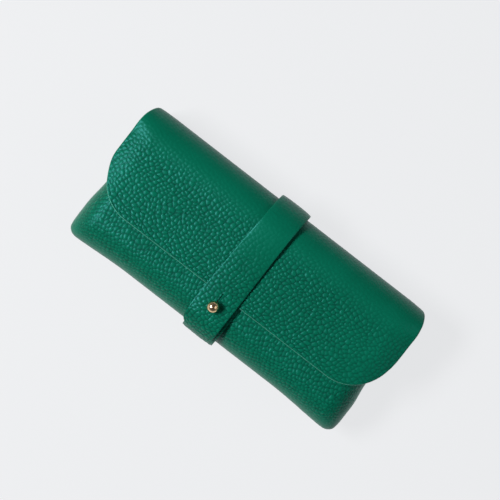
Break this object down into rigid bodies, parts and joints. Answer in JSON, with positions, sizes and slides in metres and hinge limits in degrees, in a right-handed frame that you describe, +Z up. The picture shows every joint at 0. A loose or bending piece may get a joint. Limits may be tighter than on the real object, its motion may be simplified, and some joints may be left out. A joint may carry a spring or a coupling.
{
  "type": "multi glasses organizer",
  "caption": "Soft pebbled leather case with separate compartments for several pairs of glasses, a fold-over flap, and a wrap strap that hooks over a ball stud.",
  "frame": {"origin": "centre of the footprint, on the surface that the case lies on, case on its back with the flap up", "axes": "+X along the case from end to end, +Y from the bottom fold to the spine, +Z up out of the flap"},
  "size_m": [0.188, 0.0898, 0.0479],
  "materials": {
    "pebbled_leather": "soft pebbled full-grain leather, low sheen, raw cut edges",
    "strap_leather": "the same leather, cut as a strap, grain pressed a little flatter",
    "suede_lining": "matte microfibre suede",
    "gold_metal": "polished light gold plate"
  },
  "bodies": {
    "pouch": {"back_panel": "pebbled_leather", "front_panel": "pebbled_leather", "back_lining": "suede_lining", "front_lining": "suede_lining", "divider": "suede_lining", "divider_binding": "pebbled_leather", "strap_base": "strap_leather", "stud": "gold_metal", "stud_screw": "gold_metal"},
    "spine": {"spine_panel": "pebbled_leather", "spine_lining": "suede_lining", "strap_spine": "strap_leather"},
    "flap": {"flap_panel": "pebbled_leather", "flap_lining": "suede_lining", "strap_shoulder": "strap_leather"},
    "strap": {"strap_tail": "strap_leather"}
  },
  "joints": [
    {"name": "spine_fold", "type": "hinge", "parent": "pouch", "child": "spine", "pos_m": [0, 0.04329, 0.00161], "axis": [-1, 0, 0], "range_deg": [0, 90]},
    {"name": "flap_fold", "type": "hinge", "parent": "spine", "child": "flap", "pos_m": [0, 0.03895, 0.03705], "axis": [-1, 0, 0], "range_deg": [0, 90]},
    {"name": "strap_fold", "type": "hinge", "parent": "flap", "child": "strap", "pos_m": [0, 0.0246, 0.043], "axis": [-1, 0, 0], "range_deg": [0, 170]}
  ],
  "couplings": [
    {"joint": "spine_fold", "follows": "flap_fold", "ratio": 1}
  ]
}
